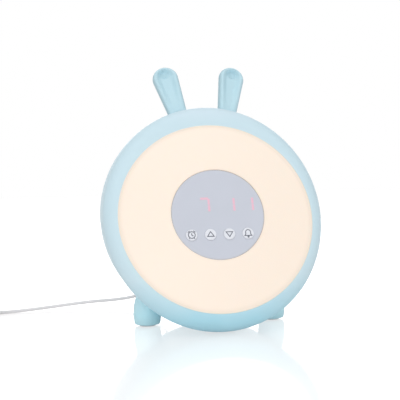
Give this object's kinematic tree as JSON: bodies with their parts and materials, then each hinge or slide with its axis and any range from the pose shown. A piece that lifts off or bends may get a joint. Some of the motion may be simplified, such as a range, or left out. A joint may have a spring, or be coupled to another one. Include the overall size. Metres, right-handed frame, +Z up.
{
  "type": "bedside alarm clock",
  "caption": "Child's bedside wake-up light and alarm clock: lean-faced drum with rabbit ears, stub feet, glowing ring, digital display and push keys.",
  "frame": {"origin": "on the surface the clock stands on, under the middle of its box without the cord", "axes": "+Z up, the leaning face looks towards -Y, +X to the viewer's right"},
  "size_m": [0.3073, 0.1712, 0.2092],
  "materials": {
    "case_blue": "fine satin, pale baby blue",
    "opal_diffuser": "milky, lit warm from behind",
    "display_window": "smooth, smoked lavender grey",
    "key_white": "fine satin",
    "plunger_red": "moulded",
    "switch_black": "moulded",
    "board_green": "solder mask",
    "board_white": "white solder mask",
    "tray_white": "moulded",
    "led_yellow": "phosphor in a white cup",
    "module_grey": "moulded",
    "segment_lit": "lit resin",
    "segment_dark": "unlit resin",
    "capacitor_sleeve": "shrunk sleeve",
    "speaker_metal": "pressed steel",
    "speaker_paper": "pressed paper",
    "nickel": "nickel plate",
    "screw_steel": "zinc plate",
    "pad_rubber": "soft, matt",
    "harness_wire": "PVC",
    "cord_white": "satin PVC",
    "tie_white": "coated wire tie"
  },
  "bodies": {
    "root": {"base_pad": "pad_rubber", "battery_contact": "nickel", "board_capacitors": "capacitor_sleeve", "board_connectors": "tray_white", "case_screws": "screw_steel", "coin_cell": "nickel", "controller_chip": "switch_black", "cord_coil": "cord_white", "cord_plug": "cord_white", "cord_plug_barrel": "nickel", "cord_strain_relief": "cord_white", "cord_tie": "tie_white", "dc_socket": "switch_black", "dc_socket_pin": "nickel", "diffuser_ring": "opal_diffuser", "digit_module": "module_grey", "digit_segments_lit": "segment_lit", "digit_segments_unlit": "segment_dark", "display_board": "board_green", "display_board_screws": "screw_steel", "display_cable": "harness_wire", "display_panel": "display_window", "ear_screws": "screw_steel", "foot_pads": "pad_rubber", "foot_screws": "screw_steel", "front_bezel": "case_blue", "led_board_screws": "screw_steel", "led_cable": "harness_wire", "led_ring_board": "board_white", "left_ear": "case_blue", "left_foot": "case_blue", "main_board": "board_green", "main_board_screws": "screw_steel", "power_cord": "cord_white", "power_cord_end": "cord_white", "rear_housing": "case_blue", "reflector_tray": "tray_white", "right_ear": "case_blue", "right_foot": "case_blue", "ring_leds": "led_yellow", "speaker_cable": "harness_wire", "speaker_cone": "speaker_paper", "speaker_frame": "speaker_metal", "speaker_magnet": "speaker_metal", "speaker_screws": "screw_steel", "tact_switches": "switch_black", "tray_screws": "screw_steel", "usb_plug_body": "cord_white", "usb_plug_shell": "nickel"},
    "clock_key": {"key_clock": "key_white", "key_plunger_clock": "plunger_red"},
    "up_key": {"key_up": "key_white", "key_plunger_up": "plunger_red"},
    "down_key": {"key_down": "key_white", "key_plunger_down": "plunger_red"},
    "bell_key": {"key_bell": "key_white", "key_plunger_bell": "plunger_red"},
    "battery_door": {"battery_door": "case_blue", "battery_door_screw": "screw_steel"}
  },
  "joints": [
    {"name": "clock_key_press", "type": "slide", "parent": "root", "child": "clock_key", "axis": [0, 0.9397, -0.342], "range_m": [0, 0.0007], "stiffness_N_per_m": 350},
    {"name": "up_key_press", "type": "slide", "parent": "root", "child": "up_key", "axis": [0, 0.9397, -0.342], "range_m": [0, 0.0007], "stiffness_N_per_m": 350},
    {"name": "down_key_press", "type": "slide", "parent": "root", "child": "down_key", "axis": [0, 0.9397, -0.342], "range_m": [0, 0.0007], "stiffness_N_per_m": 350},
    {"name": "bell_key_press", "type": "slide", "parent": "root", "child": "bell_key", "axis": [0, 0.9397, -0.342], "range_m": [0, 0.0007], "stiffness_N_per_m": 350},
    {"name": "battery_door_lift", "type": "slide", "parent": "root", "child": "battery_door", "axis": [0, 1, 0], "range_m": [0, 0.012]}
  ]
}
